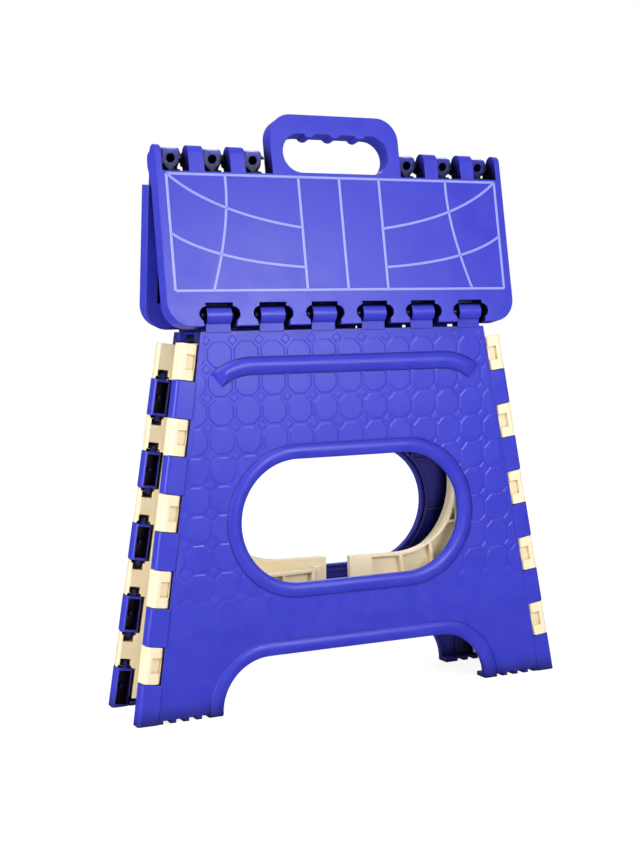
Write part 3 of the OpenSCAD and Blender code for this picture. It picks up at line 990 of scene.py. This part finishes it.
@dataclass
class Stool:
    """The whole stool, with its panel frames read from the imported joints."""

    frame: dict
    hinge_to_ridge: float = 117.0 * MM
    seat_thickness: float = 15.0 * MM
    handle_gap: float = 58.0 * MM
    handle_gap_deep: float = 38.0 * MM

    def joint(self, name: str) -> dict:
        """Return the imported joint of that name."""
        return next(j for j in self.frame["joints"] if j["name"] == name)

    def leg_place(self) -> PanelFrame:
        """Work out the front leg's frame from its left corner hinge.

        Returns:
            The frame, whose Y runs up the middle of the leg.
        """
        hinge = self.joint("corner_front_left")
        foot, up_edge = Vector(hinge["pos_m"]), Vector(hinge["axis"])
        across = Vector((1.0, 0.0, 0.0))
        up = (up_edge - across * up_edge.dot(across)).normalized()
        return PanelFrame(Vector((0.0, foot.y, foot.z)), across, up, across.cross(up))

    def seat_place(self) -> PanelFrame:
        """Work out the front seat half's frame from its leg hinge and the ridge in the middle.

        Returns:
            The frame, whose origin is on the ridge.
        """
        hinge = Vector(self.joint("seat_front_hinge")["pos_m"])
        arm = math.hypot(self.hinge_to_ridge, self.seat_thickness / 2)
        swing = math.asin(-hinge.y / arm)
        lean = swing - math.atan2(self.seat_thickness / 2, self.hinge_to_ridge)
        ridge = Vector((0.0, 0.0, hinge.z + arm * math.cos(swing)))
        up = Vector((0.0, math.sin(lean), math.cos(lean)))
        out = Vector((0.0, -math.cos(lean), math.sin(lean)))
        return PanelFrame(ridge, Vector((1.0, 0.0, 0.0)), up, out)

    def dress(self, palette: Palette) -> None:
        """Build every panel in its finish.

        Args:
            palette: the finishes.
        """
        blue, cream = palette.blue.material(), palette.cream.material()
        # lines is the lighter blue of the seat lines, a painted sheen.
        lines = palette.sheen_line_blue.material()
        leg, seat = self.leg_place(), self.seat_place()
        for node, place in (("leg_front", leg), ("leg_rear", leg.turned())):
            Leg(self.frame, node, place).dress(blue)
        no_gap, gap = (0.0, 0.0), (self.handle_gap, -self.handle_gap_deep)
        SeatHalf(self.frame, "seat_front", seat, no_gap).dress(blue, lines)
        SeatHalf(self.frame, "seat_rear", seat.turned(), gap).dress(blue, lines)
        for end in ("front", "rear"):
            for side in ("left", "right"):
                MouldedPanel(self.frame, f"side_{end}_{side}", Slot.CREAM).build(cream)


@dataclass(frozen=True)
class Camera:
    """The photograph's camera."""

    place: tuple[float, float, float] = (-476.26 * MM, -992.20 * MM, 283.05 * MM)
    yaw: float = 0.4376
    pitch: float = 0.0702
    roll: float = 0.0204
    focal_pixels: float = 1413.75
    long_side_pixels: float = 853.0
    sensor: float = 36.0

    def build(self) -> None:
        """Add the camera and make it the scene's own."""
        across, along, flat = math.sin(self.yaw), math.cos(self.yaw), math.cos(self.pitch)
        forward = Vector((across * flat, along * flat, -math.sin(self.pitch)))
        level = Vector((along, -across, 0.0))
        down = forward.cross(level)
        right = level * math.cos(self.roll) + down * math.sin(self.roll)
        below = down * math.cos(self.roll) - level * math.sin(self.roll)
        data = bpy.data.cameras.new("photo_camera")
        data.sensor_width = self.sensor
        data.lens = self.focal_pixels * self.sensor / self.long_side_pixels
        made = bpy.data.objects.new("photo_camera", data)
        turn = Matrix((right, -below, -forward)).transposed().to_4x4()
        made.matrix_world = Matrix.Translation(Vector(self.place)) @ turn
        bpy.context.scene.collection.objects.link(made)
        bpy.context.scene.camera = made


@dataclass(frozen=True)
class SoftLamp:
    """A square studio lamp aimed at the stool."""

    name: str
    place: tuple[float, float, float]
    size: float
    power: float
    aim: tuple[float, float, float] = (0.0, 0.0, 0.25)

    def build(self) -> None:
        """Add the lamp."""
        data = bpy.data.lights.new(self.name, "AREA")
        data.size = self.size
        data.energy = self.power
        made = bpy.data.objects.new(self.name, data)
        way = Vector(self.aim) - Vector(self.place)
        turn = way.to_track_quat("-Z", "Y").to_matrix().to_4x4()
        made.matrix_world = Matrix.Translation(Vector(self.place)) @ turn
        bpy.context.scene.collection.objects.link(made)


@dataclass
class Studio:
    """A plain pale studio with a white background."""

    floor_half: float = 3.0
    floor_drop: float = 0.1 * MM
    floor_glow: float = 0.86
    floor_pale: float = 0.86
    shadow_tone: float = 0.28
    ambient: float = 0.5
    horizon: float = 0.1
    zenith: float = 0.55
    lamps: tuple[SoftLamp, ...] = (
        SoftLamp("key_lamp", place=(0.22, -0.82, 0.47), size=0.35, power=3.5),
        SoftLamp("left_lamp", place=(-1.1, -0.25, 0.45), size=0.6, power=8.0),
        SoftLamp("top_lamp", place=(-0.25, -0.35, 1.25), size=0.5, power=2.5),
        SoftLamp("rear_lamp", place=(0.9, 1.4, 1.1), size=1.0, power=10.0),
    )

    def build(self) -> None:
        """Add the floor, the world, the lamps and the view settings."""
        self.floor()
        self.world()
        for lamp in self.lamps:
            lamp.build()
        bpy.context.scene.view_settings.view_transform = "Standard"

    def floor(self) -> None:
        """Add a pale floor that shows white to the camera and keeps a soft shadow."""
        mesh = bmesh.new()
        half = self.floor_half
        corners = [(-half, -half), (half, -half), (half, half), (-half, half)]
        mesh.faces.new([mesh.verts.new((x, y, -self.floor_drop)) for x, y in corners])
        data = bpy.data.meshes.new("studio_floor")
        mesh.to_mesh(data)
        mesh.free()
        data.materials.append(self.floor_finish())
        made = bpy.data.objects.new("studio_floor", data)
        made.visible_glossy = False
        bpy.context.scene.collection.objects.link(made)

    def floor_finish(self) -> bpy.types.Material:
        """Build the floor's pale material.

        Returns:
            A material that is white to the camera wherever no shadow falls on it.
        """
        made = bpy.data.materials.new("pale_floor")
        made.use_nodes = True
        tree = NodeTree(made.node_tree)
        seen = tree.add("ShaderNodeLightPath").outputs["Is Camera Ray"]
        lit = tree.add("ShaderNodeBsdfDiffuse")
        tone = tree.mix(seen, (self.floor_pale,) * 3, (self.shadow_tone,) * 3)
        tree.join(tone, lit.inputs["Color"])
        white = tree.add("ShaderNodeEmission")
        tree.join(tree.spread(seen, (0.0, 0.0), (1.0, self.floor_glow)), white.inputs["Strength"])
        both = tree.add("ShaderNodeAddShader")
        tree.join(lit.outputs["BSDF"], both.inputs[0])
        tree.join(white.outputs["Emission"], both.inputs[1])
        tree.join(both.outputs["Shader"], tree.add("ShaderNodeOutputMaterial").inputs["Surface"])
        return made

    def world(self) -> None:
        """Give the world a white look to the camera and a soft ambient light."""
        world = bpy.data.worlds.new("white_studio")
        world.use_nodes = True
        bpy.context.scene.world = world
        tree = NodeTree(world.node_tree)
        path = tree.add("ShaderNodeLightPath")
        lit = tree.spread(path.outputs["Is Camera Ray"], (0.0, self.ambient), (1.0, 1.0))
        height = tree.add("ShaderNodeSeparateXYZ")
        tree.join(tree.add("ShaderNodeTexCoord").outputs["Generated"], height.inputs["Vector"])
        sky = tree.spread(height.outputs["Z"], (0.0, self.horizon), (1.0, self.zenith))
        pick = tree.add("ShaderNodeMix", data_type="FLOAT")
        tree.join(path.outputs["Is Glossy Ray"], pick.inputs["Factor"])
        tree.join(lit, pick.inputs["A"])
        tree.join(sky, pick.inputs["B"])
        back = tree.add("ShaderNodeBackground")
        back.inputs["Color"].default_value = WHITE
        tree.join(pick.outputs["Result"], back.inputs["Strength"])
        tree.join(back.outputs["Background"], tree.add("ShaderNodeOutputWorld").inputs["Surface"])


def main() -> None:
    """Build the stool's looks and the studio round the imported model."""
    logging.basicConfig(level=logging.INFO, format="%(name)s: %(message)s")
    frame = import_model()
    Camera().build()
    Stool(frame).dress(Palette())
    Studio().build()


if __name__ == "__main__":
    main()
